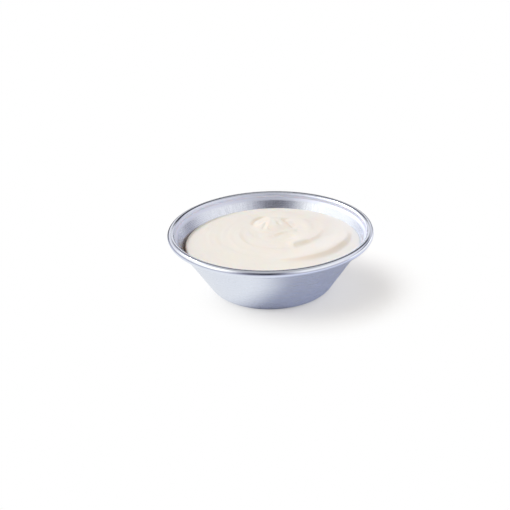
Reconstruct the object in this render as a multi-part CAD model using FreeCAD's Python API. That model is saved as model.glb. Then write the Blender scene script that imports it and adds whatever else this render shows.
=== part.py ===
"""Small stainless sauce cup, filled with swirled parmesan garlic sauce.

The cup is one sheet of steel: a floor pushed up a little in its middle, a
rounded foot, a flared wall, and an edge that is rolled outward into a bead.
The sauce fills it to a little below the bead. It lies on the cup's inner skin,
and its top keeps the arcs and the folded peak that a spoon left in it.

Millimetres. +Z is up, and the origin is the middle of the foot, on the table.
"""
import FreeCAD, Part
import math
import os
from collections import namedtuple

# ---- cup: driving sizes ----------------------------------------------------
RIM_R = 38.0            # outer radius, over the bead
HEIGHT = 23.4           # table to the top of the bead
FOOT_R = 21.25          # where the middles of the floor and the wall would meet
SHEET = 0.55            # thickness of the steel
BEAD_D = 2.8            # across the rolled bead
CURL_TURN = 312.0       # degrees that the edge is rolled through
FOOT_BEND_R = 5.2       # bend between the floor and the wall, at mid sheet
NECK_BEND_R = 1.1       # bend that stands the wall upright below the bead
NECK_DROP = 0.45        # from the bead's middle down to the corner of that bend
KICK_R = 15.5           # where the raised middle of the floor ends
KICK_H = 0.5            # how far the middle of the floor is raised
KICK_BEND_R = 2.0       # the two bends of that small step

# ---- sauce: driving sizes --------------------------------------------------
FREEBOARD = 5.1         # from the top of the bead down to the sauce's level
SHOULDER_R = 0.8        # bend by which the top turns down to the wall
SHOULDER_TURN = 80.0    # degrees that it turns through
SHOULDER_GAP = 0.35     # from the start of that bend to the wall, where the two are nearest
SKIM = 0.03             # the bend starts this far above the level, to cross it cleanly
DRIFT_X = 0.9           # the sauce's flat top lies a little off the cup's middle
DRIFT_Y = -0.3
CALM_RIM = 0.3          # flat border inside the bend
CALM_BLEND = 3.5        # over which the swirl fades out to that border
GRID_PITCH = 0.95       # spacing of the points that the top is drawn through

PEAK_X = 0.8            # the low peak: middle, half widths and height
PEAK_Y = 15.0
PEAK_HALF_X = 8.6
PEAK_HALF_Y = 8.0
PEAK_H = 0.82
FOLD_H = 0.07           # height of the folds on the peak
FOLD_SPREAD = 17.0      # degrees from one fold to the next
FOLD_ROOT = 8.5         # the folds fan out from a point this far behind the peak

# One mark of the spoon: an arc about (x, y) whose crest runs from radius r_start at the azimuth
# start to r_end, turning left by sweep degrees. hook draws its start outward. inside and outside
# are the reaches of its two banks, and the fades are the shares of the sweep over which its ends
# die away.
Mark = namedtuple("Mark", "x y start sweep r_start r_end hook crest inside outside fade_in fade_out")
MARKS = [
    Mark(0.4, 14.7, -75.0, 82.0, 20.0, 19.6, 0.4, 0.80, 4.5, 1.45, 0.16, 1.00),    # the tongue
    Mark(2.0, 2.0, -112.0, 138.0, 15.8, 28.0, 0.0, 1.12, 5.5, 1.8, 0.50, 0.36),  # the broad outer arc
    Mark(3.0, 5.5, 140.0, 150.0, 15.3, 13.9, 0.0, 0.36, 1.4, 5.0, 0.30, 0.12),   # step on the near left
    Mark(3.0, 10.0, 155.0, 130.0, 12.4, 10.6, 0.0, 0.15, 1.2, 1.9, 0.30, 0.25),  # ring inside that step
    Mark(3.0, 5.5, 168.0, 105.0, 25.0, 21.0, 0.0, 0.20, 1.8, 4.0, 0.35, 0.35),   # step on the far left
    Mark(5.0, 11.0, -35.0, 110.0, 9.0, 11.0, 0.0, 0.24, 2.4, 1.6, 0.30, 0.35),   # right of the peak
    Mark(1.8, 14.6, 205.0, 130.0, 7.2, 7.4, 0.0, 0.17, 1.2, 0.9, 0.30, 0.30),    # before the peak
    Mark(2.0, 3.0, 45.0, 105.0, 24.6, 24.0, 0.0, 0.22, 3.0, 1.8, 0.40, 0.40),    # low arc at the back
]
HOOK_SPREAD = 6.0       # degrees over which a hook dies away
HOOK_FLARE = 0.4        # share by which a hooked mark's outer bank is wider at its start
HOOK_TAPER = 0.60       # share by which its inner bank is narrower there
FLARE_SPREAD = 16.0     # degrees over which the two die away

# One crease: a bent line from a towards b and on to c, its depth, and the reaches of its banks,
# left and right as seen along the line.
Crease = namedtuple("Crease", "ax ay bx by cx cy depth left right")
CREASES = [
    Crease(-0.6, 23.2, -7.4, 22.0, -6.0, 12.5, 0.47, 2.2, 0.9),     # round the left of the peak
    Crease(4.8, 21.2, 5.5, 19.4, 6.3, 16.6, 0.42, 2.4, 0.9),        # down the right of the peak
    Crease(8.0, -4.4, 11.0, -3.7, 15.4, -0.6, 0.42, 1.2, 3.2),      # hollow along the tongue
    Crease(1.5, 6.5, 5.0, 2.0, 9.5, 5.5, 0.32, 3.5, 3.0),           # shallow pool before the peak
]
CREASE_STEPS = 12       # straight pieces that a crease is measured along
CREASE_FADE = 0.25      # share of its length over which each end dies away

# ---- worked out from them --------------------------------------------------
HALF = SHEET / 2
CURL_R = BEAD_D / 2 - HALF                 # bead radius at mid sheet
BEAD_Z = HEIGHT - BEAD_D / 2               # height of the bead's middle
NECK_R = RIM_R - BEAD_D / 2 - CURL_R       # the upright neck, at mid sheet
NECK_Z = BEAD_Z - NECK_DROP                # where the wall and the neck would meet
WALL_RUN = NECK_R - FOOT_R
WALL_RISE = NECK_Z - HALF
WALL_LEAN = math.degrees(math.atan2(WALL_RUN, WALL_RISE))
WALL_CLIMB = 90.0 - WALL_LEAN

SAUCE_Z = HEIGHT - FREEBOARD


def tangent_length(radius, degrees):
    """Length that a bend takes from each of the two straights it joins."""
    return radius * math.tan(math.radians(degrees) / 2)


def inner_wall_radius(z):
    """Radius of the wall's inner skin at height z, on its straight part."""
    lean = math.radians(WALL_LEAN)
    return NECK_R - (NECK_Z - z) * math.tan(lean) - HALF / math.cos(lean)


# ---- the sheet's path, from the middle of the floor to the rolled edge ------
def floor_to_wall():
    """Moves that lay the middle of the sheet from the axis up to the end of the straight wall."""
    step = math.degrees(math.acos(1 - KICK_H / (2 * KICK_BEND_R)))
    step_width = 2 * KICK_BEND_R * math.sin(math.radians(step))
    foot_take = tangent_length(FOOT_BEND_R, WALL_CLIMB)
    neck_take = tangent_length(NECK_BEND_R, WALL_LEAN)
    return [
        ("run", KICK_R - step_width),
        ("bend", KICK_BEND_R, -step),
        ("bend", KICK_BEND_R, step),
        ("run", FOOT_R - foot_take - KICK_R),
        ("bend", FOOT_BEND_R, WALL_CLIMB),
        ("run", math.hypot(WALL_RUN, WALL_RISE) - foot_take - neck_take),
    ]


def neck_and_curl():
    """Moves that stand the wall upright and roll its edge outward and down."""
    return [
        ("bend", NECK_BEND_R, WALL_LEAN),
        ("run", NECK_DROP - tangent_length(NECK_BEND_R, WALL_LEAN)),
        ("bend", CURL_R, -CURL_TURN),
    ]


def skin(moves, offset):
    """Edges that follow the moves at a distance to their left, and their last point."""
    r, z, heading = 0.0, KICK_H + HALF, 0.0
    edges = []

    def beside(r, z, heading):
        left = math.radians(heading + 90)
        return FreeCAD.Vector(r + offset * math.cos(left), 0, z + offset * math.sin(left))

    here = beside(r, z, heading)
    for move in moves:
        if move[0] == "run":
            ahead = math.radians(heading)
            r += move[1] * math.cos(ahead)
            z += move[1] * math.sin(ahead)
            there = beside(r, z, heading)
            edges.append(Part.LineSegment(here, there).toShape())
        else:
            radius, turn = move[1], move[2]
            side = math.radians(heading + math.copysign(90, turn))
            hub_r = r + radius * math.cos(side)
            hub_z = z + radius * math.sin(side)

            def along(part):
                swung = math.radians(heading + part * turn - math.copysign(90, turn))
                return hub_r + radius * math.cos(swung), hub_z + radius * math.sin(swung)

            middle = beside(*along(0.5), heading + 0.5 * turn)
            r, z = along(1.0)
            heading += turn
            there = beside(r, z, heading)
            edges.append(Part.Arc(here, middle, there).toShape())
        here = there
    return edges, here


def spun(edges):
    """Solid made by turning a closed outline about the Z axis."""
    outline = Part.Wire(Part.sortEdges(edges)[0])
    return Part.Face(outline).revolve(FreeCAD.Vector(), FreeCAD.Vector(0, 0, 1), 360)


def straight(a, b):
    return Part.LineSegment(a, b).toShape()


# ---- cup ---------------------------------------------------------------------
def make_cup():
    moves = floor_to_wall() + neck_and_curl()
    inner, inner_end = skin(moves, HALF)
    outer, outer_end = skin(moves, -HALF)
    on_axis = straight(FreeCAD.Vector(0, 0, KICK_H), FreeCAD.Vector(0, 0, KICK_H + SHEET))
    return spun(inner + outer + [straight(inner_end, outer_end), on_axis])


# ---- sauce -------------------------------------------------------------------
def smooth(value):
    """Climb from 0 to 1 as value goes from 0 to 1, flat at both ends."""
    value = min(max(value, 0.0), 1.0)
    return value * value * (3 - 2 * value)


def mark_height(mark, x, y):
    """Height of one spoon mark above the sauce's level."""
    dx, dy = x - mark.x, y - mark.y
    swung = (math.degrees(math.atan2(dy, dx)) - mark.start) % 360
    along = swung / mark.sweep
    if along >= 1:
        return 0.0
    ends = smooth(along / mark.fade_in) * smooth((1 - along) / mark.fade_out)
    hook = mark.hook * math.exp(-swung / HOOK_SPREAD)
    off_crest = math.hypot(dx, dy) - mark.r_start - (mark.r_end - mark.r_start) * along - hook
    young = math.exp(-swung / FLARE_SPREAD) if mark.hook else 0.0
    if off_crest > 0:
        width = mark.outside * (1 + HOOK_FLARE * young)
    else:
        width = mark.inside * (1 - HOOK_TAPER * young)
    return mark.crest * ends * math.exp(-(off_crest / width) ** 2)


def crease_point(crease, t):
    """Point of a crease's line, from its start at t = 0 to its end at t = 1."""
    a, b, c = (1 - t) ** 2, 2 * t * (1 - t), t * t
    x = a * crease.ax + b * crease.bx + c * crease.cx
    y = a * crease.ay + b * crease.by + c * crease.cy
    return x, y


def crease_depth(crease, x, y):
    """Depth of one crease below the surface round it."""
    nearest, side, where = math.inf, 0.0, 0.0
    for i in range(CREASE_STEPS):
        px, py = crease_point(crease, i / CREASE_STEPS)
        qx, qy = crease_point(crease, (i + 1) / CREASE_STEPS)
        ex, ey = qx - px, qy - py
        t = ((x - px) * ex + (y - py) * ey) / (ex * ex + ey * ey)
        t = min(max(t, 0.0), 1.0)
        off_x, off_y = x - px - t * ex, y - py - t * ey
        off = math.hypot(off_x, off_y)
        if off < nearest:
            nearest, side, where = off, ex * off_y - ey * off_x, (i + t) / CREASE_STEPS
    width = crease.left if side > 0 else crease.right
    ends = smooth(where / CREASE_FADE) * smooth((1 - where) / CREASE_FADE)
    return crease.depth * ends * math.exp(-(nearest / width) ** 2)


def peak_height(x, y):
    """Low dome with faint folds that fan out from a point behind it."""
    dx, dy = x - PEAK_X, y - PEAK_Y
    away = (dx / PEAK_HALF_X) ** 2 + (dy / PEAK_HALF_Y) ** 2
    if away >= 1:
        return 0.0
    fan = math.degrees(math.atan2(dx, FOLD_ROOT - dy))
    fold = 0.5 - 0.5 * math.cos(2 * math.pi * fan / FOLD_SPREAD)
    return PEAK_H * (1 - away) ** 1.5 + FOLD_H * fold * (1 - away)


def flat_radius():
    """Radius of the sauce's top, inside the bend that turns down to the wall."""
    return inner_wall_radius(SAUCE_Z) - SHOULDER_GAP - math.hypot(DRIFT_X, DRIFT_Y)


def sauce_height(x, y):
    """Height of the sauce's top above the table, before its edge is rounded."""
    swirl = peak_height(x, y) + sum(mark_height(mark, x, y) for mark in MARKS)
    swirl -= sum(crease_depth(crease, x, y) for crease in CREASES)
    from_middle = math.hypot(x - DRIFT_X, y - DRIFT_Y)
    return SAUCE_Z + swirl * smooth((flat_radius() - CALM_RIM - from_middle) / CALM_BLEND)


def under_the_swirl():
    """Block whose top is the swirled surface, a little wider than the sauce."""
    reach = inner_wall_radius(SAUCE_Z) + GRID_PITCH
    count = 2 * math.ceil(reach / GRID_PITCH) + 1
    places = [2 * reach * i / (count - 1) - reach for i in range(count)]
    top = Part.BSplineSurface()
    top.interpolate([[FreeCAD.Vector(x, y, sauce_height(x, y)) for y in places] for x in places])
    return top.toShape().extrude(FreeCAD.Vector(0, 0, -HEIGHT))


def beyond_the_shoulder():
    """Ring outside the bend that turns the sauce's top down to the wall."""
    start = FreeCAD.Vector(flat_radius(), 0, SAUCE_Z + SKIM)
    hub = start - FreeCAD.Vector(0, 0, SHOULDER_R)

    def on_bend(turn):
        swung = math.radians(90 - turn)
        return hub + FreeCAD.Vector(math.cos(swung), 0, math.sin(swung)) * SHOULDER_R

    end = on_bend(SHOULDER_TURN)
    down = math.radians(-SHOULDER_TURN)
    foot = end + FreeCAD.Vector(math.cos(down), 0, math.sin(down)) * SAUCE_Z / 3
    outer_low = FreeCAD.Vector(RIM_R, 0, foot.z)
    outer_high = FreeCAD.Vector(RIM_R, 0, start.z)
    ring = spun([
        Part.Arc(start, on_bend(SHOULDER_TURN / 2), end).toShape(),
        straight(end, foot),
        straight(foot, outer_low),
        straight(outer_low, outer_high),
        straight(outer_high, start),
    ])
    ring.translate(FreeCAD.Vector(DRIFT_X, DRIFT_Y, 0))
    return ring


def make_sauce():
    """The cup's hollow, cut off at the swirl, with its edge turned down to the wall."""
    bed, bed_end = skin(floor_to_wall(), HALF)
    lid = straight(bed_end, FreeCAD.Vector(0, 0, bed_end.z))
    on_axis = straight(FreeCAD.Vector(0, 0, KICK_H + SHEET), FreeCAD.Vector(0, 0, bed_end.z))
    hollow = spun(bed + [lid, on_axis])
    return hollow.common(under_the_swirl()).cut(beyond_the_shoulder())


def save(name, shape):
    solid = shape.Solids[0]
    print(name, "valid", solid.isValid(), "solids", len(shape.Solids), "cm3", round(solid.Volume / 1000, 3))
    solid.exportStep(os.path.join("parts", name + ".step"))


os.makedirs("parts", exist_ok=True)
save("cup", make_cup())
save("sauce", make_sauce())
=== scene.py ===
"""Looks of a small stainless sauce cup filled with swirled sauce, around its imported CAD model.

Sizes are in millimetres; they become metres where a mesh, a material or the camera takes them.
The camera looks along +Y, so left is -X, right is +X and the back is +Y.
"""
import math
from collections import namedtuple

import bpy
import numpy as np
from mathutils import Matrix, Vector


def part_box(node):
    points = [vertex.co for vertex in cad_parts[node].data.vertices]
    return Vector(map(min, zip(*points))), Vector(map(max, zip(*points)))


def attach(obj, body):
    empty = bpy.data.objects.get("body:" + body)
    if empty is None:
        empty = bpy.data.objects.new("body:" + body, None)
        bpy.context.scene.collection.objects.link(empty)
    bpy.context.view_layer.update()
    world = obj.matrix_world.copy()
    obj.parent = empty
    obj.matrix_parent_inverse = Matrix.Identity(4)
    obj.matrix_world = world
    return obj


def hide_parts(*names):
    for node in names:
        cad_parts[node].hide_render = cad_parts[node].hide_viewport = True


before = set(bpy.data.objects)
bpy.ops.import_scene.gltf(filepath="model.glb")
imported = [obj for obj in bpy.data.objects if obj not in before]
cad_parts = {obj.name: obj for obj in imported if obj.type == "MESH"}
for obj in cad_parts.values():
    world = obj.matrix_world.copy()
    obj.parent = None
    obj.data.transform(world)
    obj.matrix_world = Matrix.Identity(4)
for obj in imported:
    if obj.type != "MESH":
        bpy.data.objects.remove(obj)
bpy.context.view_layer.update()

MM = 0.001

# ---- places taken from the frame --------------------------------------------------
CUP_LOW, CUP_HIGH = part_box("cup")
RIM_R = (CUP_HIGH.x - CUP_LOW.x) / 2 / MM
RIM_Z = CUP_HIGH.z / MM

BEAD_D = 2.8
SHEET = 0.55
FOOT_R = 21.25               # where the middles of the floor and the wall would meet
NECK_DROP = 0.45
NECK_R = RIM_R - BEAD_D + SHEET / 2            # the upright neck below the bead, at mid sheet
NECK_Z = RIM_Z - BEAD_D / 2 - NECK_DROP        # where the wall and the neck would meet
WALL_LEAN = math.atan2(NECK_R - FOOT_R, NECK_Z - SHEET / 2)
INTO_STEEL = 0.12            # how far the sauce's hidden side reaches into the sheet

# ---- camera -----------------------------------------------------------------------
VIEW_DISTANCE = 475.0        # from the middle of the rim
VIEW_CLIMB = 23.55           # degrees above the table
VIEW_ROLL = 1.41             # degrees that the camera leans
AIM_LEFT = 5.68              # the rim's middle lies this far right of the picture's
AIM_DOWN = 8.57              # and this far above it
LENS = 90.9                  # on a sensor 36 wide
SENSOR = 36.0

# ---- sauce's shape ----------------------------------------------------------------
FREEBOARD = 5.1              # from the top of the bead down to the sauce's level
SAUCE_Z = RIM_Z - FREEBOARD
SHOULDER_R = 0.8             # bend by which its top turns down to the wall
SHOULDER_TURN = 80.0         # degrees that it turns through
SHOULDER_GAP = 0.35          # from the start of that bend to the wall, where the two are nearest
DRIFT_X = 0.9                # its flat top lies a little off the cup's middle
DRIFT_Y = -0.3
CALM_RIM = 0.3               # the swirl ends this far inside the flat top's edge
CALM_BLEND = 3.5             # and dies away over this width

PEAK_X = 0.8
PEAK_Y = 15.0
PEAK_HALF_X = 8.6
PEAK_HALF_Y = 8.0
PEAK_H = 0.82
PEAK_POWER = 1.5             # roundness of the peak's dome
FOLD_H = 0.07
FOLD_SPREAD = 17.0           # degrees from one fold to the next
FOLD_ROOT = 8.5              # how far behind the peak's middle the folds start

# One spoon mark: an arc about (x, y) from start through sweep degrees, its radius at both ends, how
# far its start is drawn outward, its crest's height, how far its inner and outer banks reach, and
# the shares of its length over which its two ends fade.
Mark = namedtuple("Mark", "x y start sweep r_start r_end hook crest inside outside fade_in fade_out")
MARKS = [
    Mark(0.4, 14.7, -75.0, 82.0, 20.0, 19.6, 0.4, 0.80, 4.5, 1.45, 0.16, 1.00),  # the tongue, by its tip
    Mark(2.0, 2.0, -112.0, 138.0, 15.8, 28.0, 0.0, 1.12, 5.5, 1.8, 0.50, 0.36),  # the broad outer arc
    Mark(3.0, 5.5, 140.0, 150.0, 15.3, 13.9, 0.0, 0.36, 1.4, 5.0, 0.30, 0.12),   # step up on the near left
    Mark(3.0, 10.0, 155.0, 130.0, 12.4, 10.6, 0.0, 0.15, 1.2, 1.9, 0.30, 0.25),  # ring inside that step
    Mark(3.0, 5.5, 168.0, 105.0, 25.0, 21.0, 0.0, 0.20, 1.8, 4.0, 0.35, 0.35),   # step up on the far left
    Mark(5.0, 11.0, -35.0, 110.0, 9.0, 11.0, 0.0, 0.24, 2.4, 1.6, 0.30, 0.35),   # ripple right of the peak
    Mark(1.8, 14.6, 205.0, 130.0, 7.2, 7.4, 0.0, 0.17, 1.2, 0.9, 0.30, 0.30),    # brow along the peak's front
    Mark(2.0, 3.0, 45.0, 105.0, 24.6, 24.0, 0.0, 0.22, 3.0, 1.8, 0.40, 0.40),    # low arc at the back
]
HOOK_SPREAD = 6.0            # degrees over which a mark's start is drawn outward by its hook
HOOK_FLARE = 0.4             # share by which a hooked mark's outer bank is wider at its start
HOOK_TAPER = 0.60            # share by which its inner bank is narrower there
FLARE_SPREAD = 16.0          # degrees over which the two die away

# One crease: a bent line through three points, its depth, and how far its two banks reach:
# the left bank, seen along the line, and the right one.
Crease = namedtuple("Crease", "ax ay bx by cx cy depth left right")
CREASES = [
    Crease(-0.6, 23.2, -7.4, 22.0, -6.0, 12.5, 0.47, 2.2, 0.9),    # round the left of the peak
    Crease(-0.6, 20.6, -3.0, 19.4, -4.4, 14.6, 0.19, 1.0, 0.5),
    Crease(-1.7, 17.0, -2.0, 13.4, -3.1, 9.6, 0.18, 1.0, 0.5),
    Crease(-0.8, 12.2, -0.4, 10.8, 0.1, 9.4, 0.14, 0.9, 0.5),
    Crease(4.8, 21.2, 5.5, 19.4, 6.3, 16.6, 0.42, 2.4, 0.9),       # down the right of the peak
    Crease(5.8, 18.2, 7.2, 15.0, 9.0, 10.6, 0.20, 2.0, 0.6),
    Crease(2.6, 16.6, 3.0, 15.2, 3.5, 13.6, 0.16, 1.0, 0.6),
    Crease(9.4, 8.4, 10.2, 9.4, 10.9, 10.6, 0.18, 0.9, 1.0),
    Crease(8.0, -4.4, 11.0, -3.7, 15.4, -0.6, 0.42, 1.2, 3.2),     # hollow along the tongue
    Crease(1.5, 6.5, 5.0, 2.0, 9.5, 5.5, 0.32, 3.5, 3.0),          # shallow pool before the peak
]
CREASE_STEPS = 14            # straight pieces that a crease is measured along
CREASE_FADE = 0.25           # share of a crease over which each of its ends fades

DRAG_X = 3.0                 # fine lines drawn round this point
DRAG_Y = 5.5
DRAG_PITCH = 1.3
DRAG_H = 0.028
DRAG_SETS = ((1.0, 1.0, 45.0, 5), (0.6, 2.1, 30.0, 6))   # share, times finer, degrees that a line runs, seed
LUMP_SIZE = 4.5
LUMP_H = 0.035
LUMP_SETS = ((1.0, 1.0, 7), (0.5, 2.3, 8))               # share, times finer, seed
NOISE_CELLS = 64

TOP_RINGS = 150
SPOKES = 400
ROUND_RINGS = 14
EDGE_DROPS = (0.5, 1.0, 2.0, 4.0)      # rings below the shoulder, which reach the wall
WALL_LEVELS = (10.0, 7.0, 4.0, 3.2)    # heights of the rings along the wall
BED_R = 19.0
BED_Z = 1.6

BANK_STEP = 0.2              # the top's slope is measured this far to each side
EDGE_START = 0.03            # the painted shadow, brown where the sauce turns down to the wall, starts this far below the sauce's level
EDGE_DEPTH = 0.5             # and is full this much lower

# ---- colours and surfaces ---------------------------------------------------------
CREAM_DARK = (0.872, 0.838, 0.797, 1)
CREAM_LIGHT = (0.900, 0.872, 0.835, 1)
CREAM_CLOUDS = 90.0          # noise cells in a metre
CREAM_GRAIN = 1400.0
CREAM_BUMP = (0.12, 0.05)    # strength, and height in mm
RIGHT_PAINTED_SHADE = (0.95, 0.955, 0.98, 1)     # painted shade: darker and cooler towards the sauce's right
RIGHT_PAINTED_SHADE_X = (2.0, 30.0)
BANK_PAINTED_SHADE = (1.0, 0.97, 0.91, 1)       # painted shade: warmer and darker on the steep sides of its marks
BANK_PAINTED_SHADE_SLOPE = (0.08, 0.45)
# painted shadow: brown where the sauce turns down into the gap by the wall
EDGE_PAINTED_SHADOW = (0.52, 0.42, 0.34, 1)

STEEL = (0.74, 0.765, 0.85, 1)
# brush streaks, painted darker only at the back of the inside as a painted reflection
STEEL_PAINTED_STREAK = (0.62, 0.64, 0.73, 1)
# painted light: the neck's colour is lighter and bluer
STEEL_NECK_PAINTED_LIGHT = (0.77, 0.79, 0.91, 1)
SATIN = (0.25, 0.30)         # roughness
BEAD_SMOOTHER = 0.4          # the bead's share of that roughness
NECK_ROUGHER = 0.25          # added to it in the neck
BEAD_RADIUS = (NECK_R - 0.05, NECK_R + 0.3)
NECK_LEVEL = (NECK_Z - 1.3, NECK_Z - 0.6)
GRAIN_ACROSS = 6000.0        # noise cells in a metre, across the grain
GRAIN_AROUND = 6.0           # and in a radian, along it
GRAIN_NOISE = (0.3, 0.7)     # the noise's values that take the two ends of the satin's roughness
STEEL_BUMP = (0.045, 0.01)   # strength, and height in mm
STREAKS_AROUND = 60.0        # noise cells in a radian
STREAKS_UP = 250.0           # and in a metre
STREAKS_NOISE = (0.35, 0.65)
STREAKS_BACK = (0.55, 0.85)  # as y / radius: the streaks are painted only at the back of the inside, where they stand in for streaked reflections

# ---- studio -----------------------------------------------------------------------
KEY = dict(energy=1.90, spread=7.0, azimuth=152.0, climb=39.5)           # on the cup and the sauce
FLOOR_KEY = dict(energy=1.78, spread=48.0, azimuth=145.0, climb=50.0)    # on the floor
LAMP_COLOUR = (0.97, 1.0, 1.06)

FLOOR_HALF = 3.0             # metres
FLOOR_DROP = 0.02
FLOOR_GREY = 0.8             # for light that the floor passes on
SEEN_GREY = 0.68             # for the camera, near the cup: this much is lit by the lamps
SEEN_GLOW = 0.37             # and this much is its own
SHADE_X, SHADE_Y = 14.5, 5.2           # the shade on the floor is centred here
SHADE_RADIUS = (25.0, 50.0)  # and gives way to plain white between these radii

# The floor as the steel mirrors it, a painted reflection: plain, and in parts of it one of four other
# colours, which paint light and shade that only the steel's reflections show.
# Spans of x and y are in mm from the cup's axis, and radii are distances from it.
MIRRORED_PLAIN = (0.85, 0.915, 1.09, 1)
MIRRORED_REAR = (0.86, 0.89, 0.96, 1)
REAR_Y = (-5.0, 15.0)
# painted light: a glowing part that stands for the lit floor beside the cup's shadow
MIRRORED_PAINTED_LIGHT = (0.98, 1.0, 1.0, 1)
LIT_X, LIT_Y = -0.94, -0.342           # the painted light lies this way from the cup
LIT_FACING = (0.02, 0.70)    # as the cosine of the turn away from it
LIT_EDGE_R = 29.0            # at this radius; nearer the foot the painted light is narrower
LIT_EDGE_MAX_R = 30.0
LIT_SLANT = 0.064            # by this much for each mm
# painted dark, far off in front and to the left, and painted shade by the foot
MIRRORED_PAINTED_DARK = (0.52, 0.54, 0.66, 1)
FAR_RADIUS = (70.0, 120.0)
FAR_FRONT_Y = (-40.0, 0.0)   # only in front of this
FAR_LEFT_X = (-80.0, -40.0)  # or to the left of this
FOOT_SHARE = 0.8             # of the same colour, as painted shade close to the foot on the left
FOOT_RADIUS = (18.0, 27.0)
FOOT_X = (0.0, 11.0)
# painted dark straight behind the cup, which the steel mirrors as a dark line
MIRRORED_PAINTED_DARK_BEHIND = (0.08, 0.08, 0.1, 1)
BEHIND_Y = (45.0, 60.0)
BEHIND_ASIDE = (0.33, 0.5)   # as x / radius, to the right
BEHIND_LEFT_SHARE = 0.6      # the dark part is wider to the left, where x / radius counts only this much

# The sky as the steel mirrors it: brightness from the left (0) over the middle (0.5) to the right (1),
# in front of the cup and at three heights behind it. Spans are along y or z of the sky's direction.
SKY_FRONT = ((0.0, 1.45), (0.05, 1.75), (0.12, 1.2), (0.185, 0.6), (0.24, 0.26), (0.33, 0.13),
             (0.42, 0.09), (0.5, 0.05), (0.6, 0.24), (0.69, 0.6), (0.79, 1.1), (1.0, 1.1))
SKY_BACK_LOW = ((0.0, 0.55), (0.1, 0.5), (0.2, 0.4), (0.3, 0.05), (0.5, 0.02), (0.72, 0.04),
                (0.78, 0.8), (0.84, 2.0), (1.0, 1.8))
SKY_BACK_MIDDLE = ((0.0, 1.3), (0.12, 1.0), (0.3, 0.9), (0.5, 1.0), (0.78, 0.7), (0.88, 0.3),
                   (0.93, 0.3), (0.98, 0.7), (1.0, 0.8))
SKY_BACK_HIGH = ((0.0, 1.0), (0.12, 0.95), (0.28, 0.7), (0.37, 0.06), (0.5, 0.02), (0.72, 0.04),
                 (0.79, 0.5), (0.84, 0.95), (1.0, 1.0))
SKY_BACK_SOFT = ((0.0, 1.0), (0.12, 0.8), (0.3, 0.25), (0.5, 0.2), (0.75, 0.3), (0.9, 0.65),
                 (1.0, 0.8))           # behind, in the sky that lights and isn't mirrored
BACK_Y = (-0.15, 0.15)
LOW_TO_MIDDLE_Z = (0.08, 0.16)
MIDDLE_TO_HIGH_Z = (0.38, 0.48)
SKY_TOP = (0.6, 0.6, 0.6, 1)
TOP_Z = (0.72, 0.93)
SKY_HAZE = (0.35, 0.36, 0.42, 1)       # on the lowest part in front
HAZE_Z = (0.05, 0.3)
HAZE_SHARE = 0.4
SKY_BLUE = 1.26              # the dark parts are this much bluer
SKY_BLUE_FALL = 0.26         # and the bright ones less, by this much for each unit of brightness
SKY_BLUE_MAX = 1.35
SOFT_STRENGTH = 0.95         # of the sky that lights
SOFT_TINT = (1.0, 0.93, 0.82, 1)


# ---- nodes ------------------------------------------------------------------------
def new_material(name):
    material = bpy.data.materials.new(name)
    material.use_nodes = True
    tree = material.node_tree
    tree.nodes.clear()
    return material, tree


def add(tree, kind, **values):
    """Node of a kind; values are its properties, or inputs when the name starts with in_."""
    node = tree.nodes.new(kind)
    for name, value in values.items():
        if name.startswith("in_"):
            node.inputs[name[3:].replace("_", " ")].default_value = value
        else:
            setattr(node, name, value)
    return node


def feed(tree, socket, value):
    """Give a socket a number, a colour or another node's output."""
    if isinstance(value, (int, float, tuple)):
        socket.default_value = value
    else:
        tree.links.new(value, socket)


def math_node(tree, operation, *values):
    node = add(tree, "ShaderNodeMath", operation=operation)
    for socket, value in zip(node.inputs, values):
        feed(tree, socket, value)
    return node.outputs[0]


def length_of(tree, x, y):
    squares = [math_node(tree, "MULTIPLY", side, side) for side in (x, y)]
    return math_node(tree, "SQRT", math_node(tree, "ADD", *squares))


def metres(span):
    return tuple(side * MM for side in span)


def remap(tree, value, span, result=(0.0, 1.0), kind="SMOOTHSTEP"):
    """Carry value from one span into the other, and hold it at its ends."""
    node = add(tree, "ShaderNodeMapRange", interpolation_type=kind)
    for name, number in zip(("From Min", "From Max", "To Min", "To Max"), (*span, *result)):
        node.inputs[name].default_value = number
    tree.links.new(value, node.inputs["Value"])
    return node.outputs["Result"]


def mix_colour(tree, factor, first, second, kind="MIX"):
    node = add(tree, "ShaderNodeMix", data_type="RGBA", blend_type=kind)
    feed(tree, node.inputs["Factor"], factor)
    for socket, value in zip([s for s in node.inputs if s.type == "RGBA"], (first, second)):
        feed(tree, socket, value)
    return [s for s in node.outputs if s.type == "RGBA"][0]


def mix_shader(tree, factor, first, second):
    node = add(tree, "ShaderNodeMixShader")
    for socket, value in zip(node.inputs, (factor, first, second)):
        feed(tree, socket, value)
    return node.outputs[0]


def coordinates(tree, kind):
    """A kind of coordinates, and their x, y and z."""
    place = add(tree, "ShaderNodeTexCoord").outputs[kind]
    split = add(tree, "ShaderNodeSeparateXYZ")
    tree.links.new(place, split.inputs["Vector"])
    return place, *split.outputs


def vector(tree, x, y, z):
    node = add(tree, "ShaderNodeCombineXYZ")
    for socket, value in zip(node.inputs, (x, y, z)):
        feed(tree, socket, value)
    return node.outputs["Vector"]


def noise(tree, place, scale, detail, roughness=0.5):
    node = add(tree, "ShaderNodeTexNoise", in_Scale=scale, in_Detail=detail, in_Roughness=roughness)
    tree.links.new(place, node.inputs["Vector"])
    return node.outputs["Fac"]


def principled(tree, values):
    """Principled shader joined to the material's output."""
    out = add(tree, "ShaderNodeOutputMaterial")
    shader = add(tree, "ShaderNodeBsdfPrincipled")
    for name, value in values.items():
        shader.inputs[name].default_value = value
    tree.links.new(shader.outputs["BSDF"], out.inputs["Surface"])
    return shader


def add_bump(tree, shader, pattern, strength, height):
    bump = add(tree, "ShaderNodeBump", in_Strength=strength, in_Distance=height * MM)
    tree.links.new(pattern, bump.inputs["Height"])
    tree.links.new(bump.outputs["Normal"], shader.inputs["Normal"])


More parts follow.
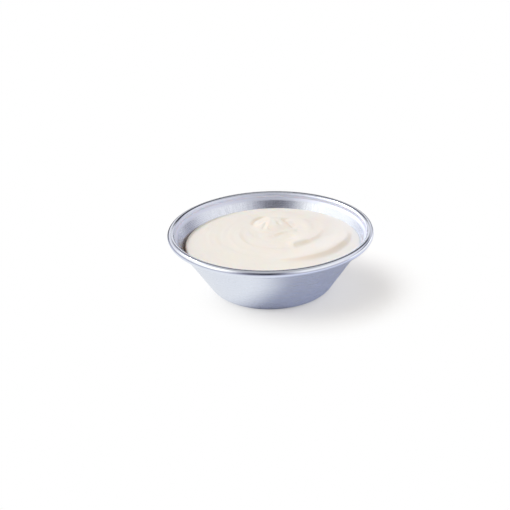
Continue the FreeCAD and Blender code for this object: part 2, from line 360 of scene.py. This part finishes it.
# ---- sauce's height ---------------------------------------------------------------
def smooth(value):
    """Climb from 0 to 1 as value goes from 0 to 1, flat at both ends."""
    value = np.clip(value, 0.0, 1.0)
    return value * value * (3 - 2 * value)


def mark_height(mark, x, y):
    """Height of one spoon mark above the sauce's level."""
    dx, dy = x - mark.x, y - mark.y
    swung = (np.degrees(np.arctan2(dy, dx)) - mark.start) % 360
    along = swung / mark.sweep
    ends = smooth(along / mark.fade_in) * smooth((1 - along) / mark.fade_out)
    crest_r = mark.r_start + (mark.r_end - mark.r_start) * along + mark.hook * np.exp(-swung / HOOK_SPREAD)
    off_crest = np.hypot(dx, dy) - crest_r
    young = np.exp(-swung / FLARE_SPREAD) if mark.hook else 0.0
    outside, inside = mark.outside * (1 + HOOK_FLARE * young), mark.inside * (1 - HOOK_TAPER * young)
    width = np.where(off_crest > 0, outside, inside)
    return mark.crest * ends * np.exp(-(off_crest / width) ** 2)


def crease_point(crease, t):
    """Point of a crease's line, from t = 0 at its start to 1 at its end."""
    a, b, c = (1 - t) ** 2, 2 * t * (1 - t), t * t
    return (
        a * crease.ax + b * crease.bx + c * crease.cx,
        a * crease.ay + b * crease.by + c * crease.cy,
    )


def crease_depth(crease, x, y):
    """Depth of one crease below the surface round it."""
    nearest = np.full(np.shape(x), 1e9)
    side = np.ones(np.shape(x))
    where = np.zeros(np.shape(x))
    for i in range(CREASE_STEPS):
        px, py = crease_point(crease, i / CREASE_STEPS)
        qx, qy = crease_point(crease, (i + 1) / CREASE_STEPS)
        ex, ey = qx - px, qy - py
        t = np.clip(((x - px) * ex + (y - py) * ey) / (ex * ex + ey * ey), 0.0, 1.0)
        off_x, off_y = x - px - t * ex, y - py - t * ey
        off = np.hypot(off_x, off_y)
        closer = off < nearest
        nearest = np.where(closer, off, nearest)
        side = np.where(closer, ex * off_y - ey * off_x, side)
        where = np.where(closer, (i + t) / CREASE_STEPS, where)
    width = np.where(side > 0, crease.left, crease.right)
    ends = smooth(where / CREASE_FADE) * smooth((1 - where) / CREASE_FADE)
    return crease.depth * ends * np.exp(-(nearest / width) ** 2)


def peak_height(x, y):
    """Low dome with faint folds that fan out from a point behind it."""
    dx, dy = x - PEAK_X, y - PEAK_Y
    away = np.minimum((dx / PEAK_HALF_X) ** 2 + (dy / PEAK_HALF_Y) ** 2, 1.0)
    fan = np.degrees(np.arctan2(dx, FOLD_ROOT - dy))
    fold = 0.5 - 0.5 * np.cos(2 * np.pi * fan / FOLD_SPREAD)
    return PEAK_H * (1 - away) ** PEAK_POWER + FOLD_H * fold * (1 - away)


def lattice_noise(u, v, seed):
    """Smooth noise from -1 to 1 that changes about once in each unit of u and v."""
    levels = np.random.default_rng(seed).uniform(-1, 1, (NOISE_CELLS, NOISE_CELLS))
    i, j = np.floor(u).astype(int), np.floor(v).astype(int)
    s, t = smooth(u - i), smooth(v - j)
    i, j, i_next, j_next = (cell % NOISE_CELLS for cell in (i, j, i + 1, j + 1))
    low = levels[i, j] * (1 - s) + levels[i_next, j] * s
    high = levels[i, j_next] * (1 - s) + levels[i_next, j_next] * s
    return low * (1 - t) + high * t


def fine_height(x, y):
    """Faint lines that the spoon drew round the cup, and the soft unevenness of a thick sauce."""
    away = np.hypot(x - DRAG_X, y - DRAG_Y)
    turn = np.degrees(np.arctan2(y - DRAG_Y, x - DRAG_X)) % 360
    lines = sum(share * lattice_noise(away / DRAG_PITCH * finer, turn / run, seed)
                for share, finer, run, seed in DRAG_SETS)
    lumps = sum(share * lattice_noise(x / LUMP_SIZE * finer, y / LUMP_SIZE * finer, seed)
                for share, finer, seed in LUMP_SETS)
    return DRAG_H * lines + LUMP_H * lumps


def sauce_height(x, y):
    """Height of the sauce's top above the table."""
    from_middle = np.hypot(x - DRIFT_X, y - DRIFT_Y)
    swirl = peak_height(x, y) + sum(mark_height(mark, x, y) for mark in MARKS)
    swirl = swirl - sum(crease_depth(crease, x, y) for crease in CREASES) + fine_height(x, y)
    calm_r = flat_radius() - CALM_RIM
    return SAUCE_Z + swirl * smooth((calm_r - from_middle) / CALM_BLEND)


def inner_wall_radius(z):
    """Radius of the wall's inner skin at height z, on its straight part."""
    return NECK_R - (NECK_Z - z) * math.tan(WALL_LEAN) - SHEET / 2 / math.cos(WALL_LEAN)


def flat_radius():
    """Radius of the sauce's top, inside the bend that turns down to the wall."""
    return inner_wall_radius(SAUCE_Z) - SHOULDER_GAP - math.hypot(DRIFT_X, DRIFT_Y)


# ---- sauce's mesh -----------------------------------------------------------------
def sauce_rings():
    """Points from the middle of the top, ring by ring over the shoulder and down the wall, to the bed's."""
    turn = np.linspace(0, 2 * np.pi, SPOKES, endpoint=False)
    flat_r = flat_radius()
    middle_z = sauce_height(np.array(DRIFT_X), np.array(DRIFT_Y))
    rings = [np.array([[DRIFT_X, DRIFT_Y, float(middle_z)]])]

    def ring(r, z, middle_x=DRIFT_X, middle_y=DRIFT_Y):
        x, y = middle_x + r * np.cos(turn), middle_y + r * np.sin(turn)
        z = np.broadcast_to(z, turn.shape)
        pull = np.minimum((inner_wall_radius(z) + INTO_STEEL) / np.hypot(x, y), 1.0)
        rings.append(np.column_stack([x * pull, y * pull, z]))

    for i in range(1, TOP_RINGS + 1):
        r = flat_r * i / TOP_RINGS
        ring(r, sauce_height(DRIFT_X + r * np.cos(turn), DRIFT_Y + r * np.sin(turn)))
    for i in range(1, ROUND_RINGS + 1):
        bend = math.radians(SHOULDER_TURN) * i / ROUND_RINGS
        r, z = flat_r + SHOULDER_R * math.sin(bend), SAUCE_Z - SHOULDER_R * (1 - math.cos(bend))
        ring(r, z)
    for drop in EDGE_DROPS:
        ring(r + drop / math.tan(math.radians(SHOULDER_TURN)), z - drop)
    for level in WALL_LEVELS:
        ring(RIM_R, level, 0.0, 0.0)
    ring(BED_R, BED_Z, 0.0, 0.0)
    rings.append(np.array([[0.0, 0.0, BED_Z]]))
    return rings


def ring_faces(count):
    """Faces that join a middle point, count rings and another middle point."""
    faces = [(0, 1 + k, 1 + (k + 1) % SPOKES) for k in range(SPOKES)]
    for i in range(count - 1):
        for k in range(SPOKES):
            a = 1 + i * SPOKES + k
            b = 1 + i * SPOKES + (k + 1) % SPOKES
            faces.append((a, a + SPOKES, b + SPOKES, b))
    last = 1 + (count - 1) * SPOKES
    faces += [(last + (k + 1) % SPOKES, last + k, last + SPOKES) for k in range(SPOKES)]
    return faces


def slope(x, y):
    """Steepness of the sauce's top."""
    rise_x = sauce_height(x + BANK_STEP, y) - sauce_height(x - BANK_STEP, y)
    rise_y = sauce_height(x, y + BANK_STEP) - sauce_height(x, y - BANK_STEP)
    return np.hypot(rise_x, rise_y) / (2 * BANK_STEP)


def set_point_values(mesh, name, values):
    mesh.attributes.new(name, "FLOAT", "POINT").data.foreach_set("value", values)


def make_sauce():
    """Closed body: swirled top, edge turned down to the wall, then along the wall to the floor."""
    rings = sauce_rings()
    verts = np.concatenate(rings)
    mesh = bpy.data.meshes.new("sauce_swirl")
    mesh.from_pydata((verts * MM).tolist(), [], ring_faces(len(rings) - 2))
    mesh.polygons.foreach_set("use_smooth", [True] * len(mesh.polygons))
    mesh.validate()
    x, y, z = verts.T
    beyond_top = np.hypot(x - DRIFT_X, y - DRIFT_Y) > flat_radius()
    # its slope, which the material turns into painted shade on steep banks
    set_point_values(mesh, "bank", slope(x, y))
    # how far the sauce has turned down towards the wall, which the material darkens as painted shadow
    set_point_values(mesh, "edge", smooth((SAUCE_Z - z - EDGE_START) / EDGE_DEPTH) * beyond_top)
    piece = bpy.data.objects.new("sauce_swirl", mesh)
    bpy.context.scene.collection.objects.link(piece)
    mesh.materials.append(sauce_material())
    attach(piece, "root")
    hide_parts("sauce")
    return piece


# ---- materials --------------------------------------------------------------------
def sauce_material():
    """Cream with soft clouds and painted shade: darker and cooler on the right, warmer and darker on steep
    banks, and a brown painted shadow where it turns down to the wall.
    """
    material, tree = new_material("cream_sauce")
    shader = principled(tree, {
        "Roughness": 0.42,
        "IOR": 1.45,
        "Specular IOR Level": 0.25,
        "Subsurface Weight": 0.5,
        "Subsurface Radius": (1.0, 0.65, 0.45),
        "Subsurface Scale": 1.6 * MM,
    })
    place, x, _, _ = coordinates(tree, "Object")
    colour = mix_colour(tree, noise(tree, place, CREAM_CLOUDS, 3.0), CREAM_DARK, CREAM_LIGHT)
    # painted shade: darker and cooler towards the sauce's right, where its light falls off
    colour = mix_colour(tree, remap(tree, x, metres(RIGHT_PAINTED_SHADE_X)), colour, RIGHT_PAINTED_SHADE, "MULTIPLY")
    # painted shade: the sauce's steep banks are warmer and darker
    bank = add(tree, "ShaderNodeAttribute", attribute_name="bank").outputs["Fac"]
    colour = mix_colour(tree, remap(tree, bank, BANK_PAINTED_SHADE_SLOPE), colour, BANK_PAINTED_SHADE, "MULTIPLY")
    # painted shadow in the gap between the sauce and the wall
    edge = add(tree, "ShaderNodeAttribute", attribute_name="edge").outputs["Fac"]
    colour = mix_colour(tree, edge, colour, EDGE_PAINTED_SHADOW, "MULTIPLY")
    tree.links.new(colour, shader.inputs["Base Color"])
    add_bump(tree, shader, noise(tree, place, CREAM_GRAIN, 2.0), *CREAM_BUMP)
    return material


def steel_material():
    """Satin steel whose grain runs round the cup, smoother on the bead and rougher in the neck, with painted
    reflection streaks at the back of the inside and painted light in the neck.
    """
    material, tree = new_material("satin_steel")
    shader = principled(tree, {"Metallic": 1.0, "Anisotropic": 0.45})
    _, x, y, z = coordinates(tree, "Object")
    radius = length_of(tree, x, y)
    turn = math_node(tree, "ARCTAN2", y, x)

    grain_place = vector(tree, math_node(tree, "MULTIPLY", radius, GRAIN_ACROSS),
                         math_node(tree, "MULTIPLY", z, GRAIN_ACROSS),
                         math_node(tree, "MULTIPLY", turn, GRAIN_AROUND))
    grain = noise(tree, grain_place, 1.0, 3.0)
    satin = remap(tree, grain, GRAIN_NOISE, SATIN, kind="LINEAR")
    rolled = remap(tree, radius, metres(BEAD_RADIUS), (1.0, BEAD_SMOOTHER))
    inside_bead = remap(tree, radius, metres(BEAD_RADIUS), (1.0, 0.0))
    neck = math_node(tree, "MULTIPLY", remap(tree, z, metres(NECK_LEVEL)), inside_bead)
    roughness = math_node(tree, "ADD", math_node(tree, "MULTIPLY", satin, rolled),
                          math_node(tree, "MULTIPLY", neck, NECK_ROUGHER))
    tree.links.new(roughness, shader.inputs["Roughness"])

    leaning = math_node(tree, "SUBTRACT", radius, math_node(tree, "MULTIPLY", z, math.tan(WALL_LEAN)))
    inside = math_node(tree, "LESS_THAN", leaning, (NECK_R - NECK_Z * math.tan(WALL_LEAN)) * MM)
    # painted reflection: darker brush streaks, only at the back of the inside
    to_back = remap(tree, math_node(tree, "DIVIDE", y, radius), STREAKS_BACK)
    streak_place = vector(tree,
                          math_node(tree, "MULTIPLY", math_node(tree, "COSINE", turn), STREAKS_AROUND),
                          math_node(tree, "MULTIPLY", math_node(tree, "SINE", turn), STREAKS_AROUND),
                          math_node(tree, "MULTIPLY", z, STREAKS_UP))
    streaks = remap(tree, noise(tree, streak_place, 1.0, 3.0, 0.65), STREAKS_NOISE, kind="LINEAR")
    shown = math_node(tree, "MULTIPLY", inside, to_back)
    colour = mix_colour(tree, math_node(tree, "MULTIPLY", streaks, shown), STEEL, STEEL_PAINTED_STREAK)
    # painted light: a lighter, bluer neck
    colour = mix_colour(tree, neck, colour, STEEL_NECK_PAINTED_LIGHT)
    tree.links.new(colour, shader.inputs["Base Color"])

    add_bump(tree, shader, grain, *STEEL_BUMP)
    tangent = add(tree, "ShaderNodeTangent", direction_type="RADIAL", axis="Z")
    tree.links.new(tangent.outputs["Tangent"], shader.inputs["Tangent"])
    return material


def dress_cup():
    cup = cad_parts["cup"]
    steel = steel_material()
    for slot in cup.material_slots:
        slot.material = steel
    return cup


# ---- stage ------------------------------------------------------------------------
def diffuse(tree, colour):
    return add(tree, "ShaderNodeBsdfDiffuse", in_Color=colour).outputs[0]


def emission(tree, colour, strength):
    return add(tree, "ShaderNodeEmission", in_Color=colour, in_Strength=strength).outputs[0]


def grey(level):
    return (level, level, level, 1)


def seen_floor(tree, x, y):
    """White floor that keeps the cup's shade near it."""
    near = add(tree, "ShaderNodeAddShader")
    tree.links.new(diffuse(tree, grey(SEEN_GREY)), near.inputs[0])
    tree.links.new(emission(tree, grey(1.0), SEEN_GLOW), near.inputs[1])
    away = length_of(tree, math_node(tree, "SUBTRACT", x, SHADE_X * MM),
                     math_node(tree, "SUBTRACT", y, SHADE_Y * MM))
    beyond = remap(tree, away, metres(SHADE_RADIUS))
    return mix_shader(tree, beyond, near.outputs[0], emission(tree, grey(1.0), 1.0))


def mirrored_floor(tree, x, y):
    """The floor as the steel mirrors it: painted light, a glowing part on the near left, painted shade by the
    foot, and painted dark parts far off and behind.
    """
    radius = length_of(tree, x, y)
    far_painted_dark = diffuse(tree, MIRRORED_PAINTED_DARK)
    to_rear = remap(tree, y, metres(REAR_Y))
    shown = mix_shader(tree, to_rear, diffuse(tree, MIRRORED_PLAIN), diffuse(tree, MIRRORED_REAR))

    # painted shade near the foot
    by_foot = math_node(tree, "MULTIPLY", remap(tree, radius, metres(FOOT_RADIUS), (FOOT_SHARE, 0.0)),
                        remap(tree, x, metres(FOOT_X), (1.0, 0.0)))
    shown = mix_shader(tree, by_foot, shown, far_painted_dark)

    # painted light: a glow on the near left, whose edge stands for the cup's shadow
    towards = math_node(tree, "ADD", math_node(tree, "MULTIPLY", x, LIT_X),
                        math_node(tree, "MULTIPLY", y, LIT_Y))
    inner_r = math_node(tree, "MINIMUM", radius, LIT_EDGE_MAX_R * MM)
    past_edge = math_node(tree, "SUBTRACT", inner_r, LIT_EDGE_R * MM)
    facing = math_node(tree, "ADD", math_node(tree, "DIVIDE", towards, radius),
                       math_node(tree, "MULTIPLY", past_edge, LIT_SLANT / MM))
    shown = mix_shader(tree, remap(tree, facing, LIT_FACING), shown, emission(tree, MIRRORED_PAINTED_LIGHT, 1.0))

    # painted dark far off in front and to the left
    front_or_left = math_node(tree, "MAXIMUM", remap(tree, y, metres(FAR_FRONT_Y), (1.0, 0.0)),
                              remap(tree, x, metres(FAR_LEFT_X), (1.0, 0.0)))
    far_off = math_node(tree, "MULTIPLY", remap(tree, radius, metres(FAR_RADIUS)), front_or_left)
    shown = mix_shader(tree, far_off, shown, far_painted_dark)

    # painted dark straight behind the cup
    sideways = math_node(tree, "DIVIDE", x, radius)
    aside = math_node(tree, "MAXIMUM", sideways, math_node(tree, "MULTIPLY", sideways, -BEHIND_LEFT_SHARE))
    straight_back = math_node(tree, "MULTIPLY", remap(tree, y, metres(BEHIND_Y)),
                              remap(tree, aside, BEHIND_ASIDE, (1.0, 0.0)))
    return mix_shader(tree, straight_back, shown, diffuse(tree, MIRRORED_PAINTED_DARK_BEHIND))


def make_floor():
    mesh = bpy.data.meshes.new("floor")
    corners = [(FLOOR_HALF * i, FLOOR_HALF * j, -FLOOR_DROP * MM)
               for i, j in ((-1, -1), (1, -1), (1, 1), (-1, 1))]
    mesh.from_pydata(corners, [], [(0, 1, 2, 3)])
    floor = bpy.data.objects.new("floor", mesh)
    bpy.context.scene.collection.objects.link(floor)
    material, tree = new_material("white_floor")
    out = add(tree, "ShaderNodeOutputMaterial")
    _, x, y, _ = coordinates(tree, "Object")
    path = add(tree, "ShaderNodeLightPath")
    shown = mix_shader(tree, path.outputs["Is Glossy Ray"], diffuse(tree, grey(FLOOR_GREY)),
                       mirrored_floor(tree, x, y))
    shown = mix_shader(tree, path.outputs["Is Camera Ray"], shown, seen_floor(tree, x, y))
    tree.links.new(shown, out.inputs["Surface"])
    mesh.materials.append(material)
    return floor


def sky_ramp(tree, side, stops):
    """Colour that follows the stops' brightness from left to right."""
    node = add(tree, "ShaderNodeValToRGB")
    tree.links.new(side, node.inputs["Fac"])
    elements = node.color_ramp.elements
    while len(elements) < len(stops):
        elements.new(0.5)
    for element, (position, level) in zip(elements, stops):
        blue = level * (SKY_BLUE - SKY_BLUE_FALL * min(level, SKY_BLUE_MAX))
        element.position = position
        element.color = (level, level, blue, 1)
    return node.outputs["Color"]


def background(tree, colour, strength):
    node = add(tree, "ShaderNodeBackground", in_Strength=strength)
    feed(tree, node.inputs["Color"], colour)
    return node.outputs[0]


def make_world():
    """White to the camera; for light and reflections, bright at the sides and dim before and behind."""
    world = bpy.data.worlds.new("studio")
    bpy.context.scene.world = world
    world.use_nodes = True
    tree = world.node_tree
    tree.nodes.clear()
    out = add(tree, "ShaderNodeOutputWorld")
    _, x, y, z = coordinates(tree, "Generated")
    side = math_node(tree, "MULTIPLY_ADD", math_node(tree, "DIVIDE", x, length_of(tree, x, y)), 0.5, 0.5)

    front = sky_ramp(tree, side, SKY_FRONT)
    back = mix_colour(tree, remap(tree, z, MIDDLE_TO_HIGH_Z), sky_ramp(tree, side, SKY_BACK_MIDDLE),
                      sky_ramp(tree, side, SKY_BACK_HIGH))
    back = mix_colour(tree, remap(tree, z, LOW_TO_MIDDLE_Z), sky_ramp(tree, side, SKY_BACK_LOW), back)
    hazy_front = mix_colour(tree, remap(tree, z, HAZE_Z, (HAZE_SHARE, 0.0)), front, SKY_HAZE)

    behind = remap(tree, y, BACK_Y)
    overhead = remap(tree, z, TOP_Z)
    mirrored = mix_colour(tree, overhead, mix_colour(tree, behind, hazy_front, back), SKY_TOP)
    soft_back = sky_ramp(tree, side, SKY_BACK_SOFT)
    soft = mix_colour(tree, overhead, mix_colour(tree, behind, front, soft_back), SKY_TOP)
    soft = mix_colour(tree, 1.0, soft, SOFT_TINT, "MULTIPLY")

    path = add(tree, "ShaderNodeLightPath")
    light = mix_shader(tree, path.outputs["Is Glossy Ray"], background(tree, soft, SOFT_STRENGTH),
                       background(tree, mirrored, 1.0))
    shown = mix_shader(tree, path.outputs["Is Camera Ray"], light, background(tree, grey(1.0), 1.0))
    tree.links.new(shown, out.inputs["Surface"])


def make_sun(name, lit_pieces, energy, spread, azimuth, climb):
    """Distant lamp that only the given pieces receive; spread, azimuth and climb are in degrees."""
    lamp = bpy.data.lights.new(name, "SUN")
    lamp.energy = energy
    lamp.angle = math.radians(spread)
    lamp.color = LAMP_COLOUR
    sun = bpy.data.objects.new(name, lamp)
    bpy.context.scene.collection.objects.link(sun)
    azimuth, climb = math.radians(azimuth), math.radians(climb)
    level = math.cos(climb)
    towards = Vector((level * math.cos(azimuth), level * math.sin(azimuth), math.sin(climb)))
    sun.rotation_euler = towards.to_track_quat("Z", "Y").to_euler()
    receivers = bpy.data.collections.new(name + "_receivers")
    for piece in lit_pieces:
        receivers.objects.link(piece)
    sun.light_linking.receiver_collection = receivers


def make_camera():
    data = bpy.data.cameras.new("camera")
    data.sensor_width = SENSOR
    data.lens = LENS
    data.clip_start = 0.01
    camera = bpy.data.objects.new("camera", data)
    bpy.context.scene.collection.objects.link(camera)
    climb = math.radians(VIEW_CLIMB)
    rim = Vector((0, 0, RIM_Z - BEAD_D / 2)) * MM
    ahead = Vector((0, math.cos(climb), -math.sin(climb)))
    right = Vector((1, 0, 0))
    up = right.cross(ahead)
    roll = math.radians(VIEW_ROLL)
    right, up = right * math.cos(roll) - up * math.sin(roll), up * math.cos(roll) + right * math.sin(roll)
    place = rim - ahead * VIEW_DISTANCE * MM
    aim = rim - right * AIM_LEFT * MM - up * AIM_DOWN * MM
    ahead = (aim - place).normalized()
    right = ahead.cross(up).normalized()
    up = right.cross(ahead)
    turn = Matrix((right, up, -ahead)).transposed().to_4x4()
    camera.matrix_world = Matrix.Translation(place) @ turn
    bpy.context.scene.camera = camera


make_camera()
make_world()
floor = make_floor()
cup = dress_cup()
sauce = make_sauce()
make_sun("key", [cup, sauce], **KEY)
make_sun("floor_key", [floor], **FLOOR_KEY)
bpy.context.scene.view_settings.view_transform = "Standard"
